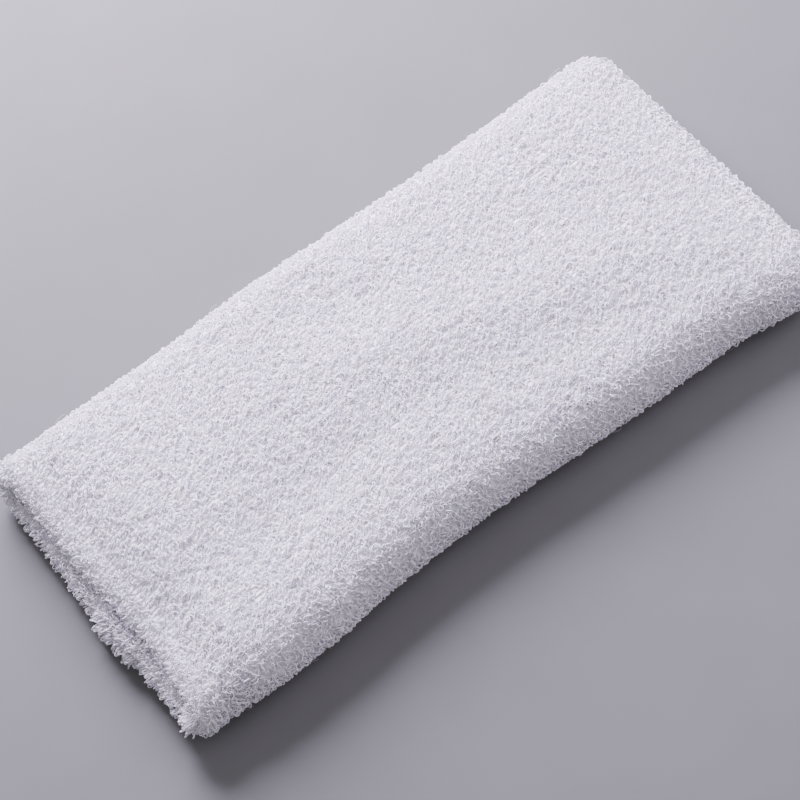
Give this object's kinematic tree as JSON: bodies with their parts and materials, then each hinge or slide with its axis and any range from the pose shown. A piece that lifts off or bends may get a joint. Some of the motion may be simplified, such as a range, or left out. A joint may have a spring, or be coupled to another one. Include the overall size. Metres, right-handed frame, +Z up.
{
  "type": "sports sweatband",
  "caption": "Flat-lying, double-walled terry sweatband: a soft white looped-pile sleeve with turned mouths, worn stretched to soak up sweat in racket sports.",
  "frame": {"origin": "middle of the underside, on the surface the flat band lies on", "axes": "+X along the sleeve from mouth to mouth, +Y across the flattened band, +Z up through its thickness"},
  "size_m": [0.154, 0.075, 0.0128],
  "materials": {
    "terry_pile": "matte looped cotton terry",
    "ground_knit": "plain knitted nylon ground",
    "elastic_yarn": "covered elastic yarn",
    "seam_thread": "twisted polyester thread"
  },
  "bodies": {
    "root": {"outer_terry_pile": "terry_pile", "outer_ground_knit": "ground_knit", "outer_elastic_yarns": "elastic_yarn", "closing_seam_stitches": "seam_thread", "right_fold_pile": "terry_pile", "right_fold_ground": "ground_knit", "right_inner_elastic": "elastic_yarn", "right_inner_ground": "ground_knit", "right_inner_pile": "terry_pile", "left_fold_pile": "terry_pile", "left_fold_ground": "ground_knit", "left_inner_elastic": "elastic_yarn", "left_inner_ground": "ground_knit", "left_inner_pile": "terry_pile"}
  },
  "joints": []
}
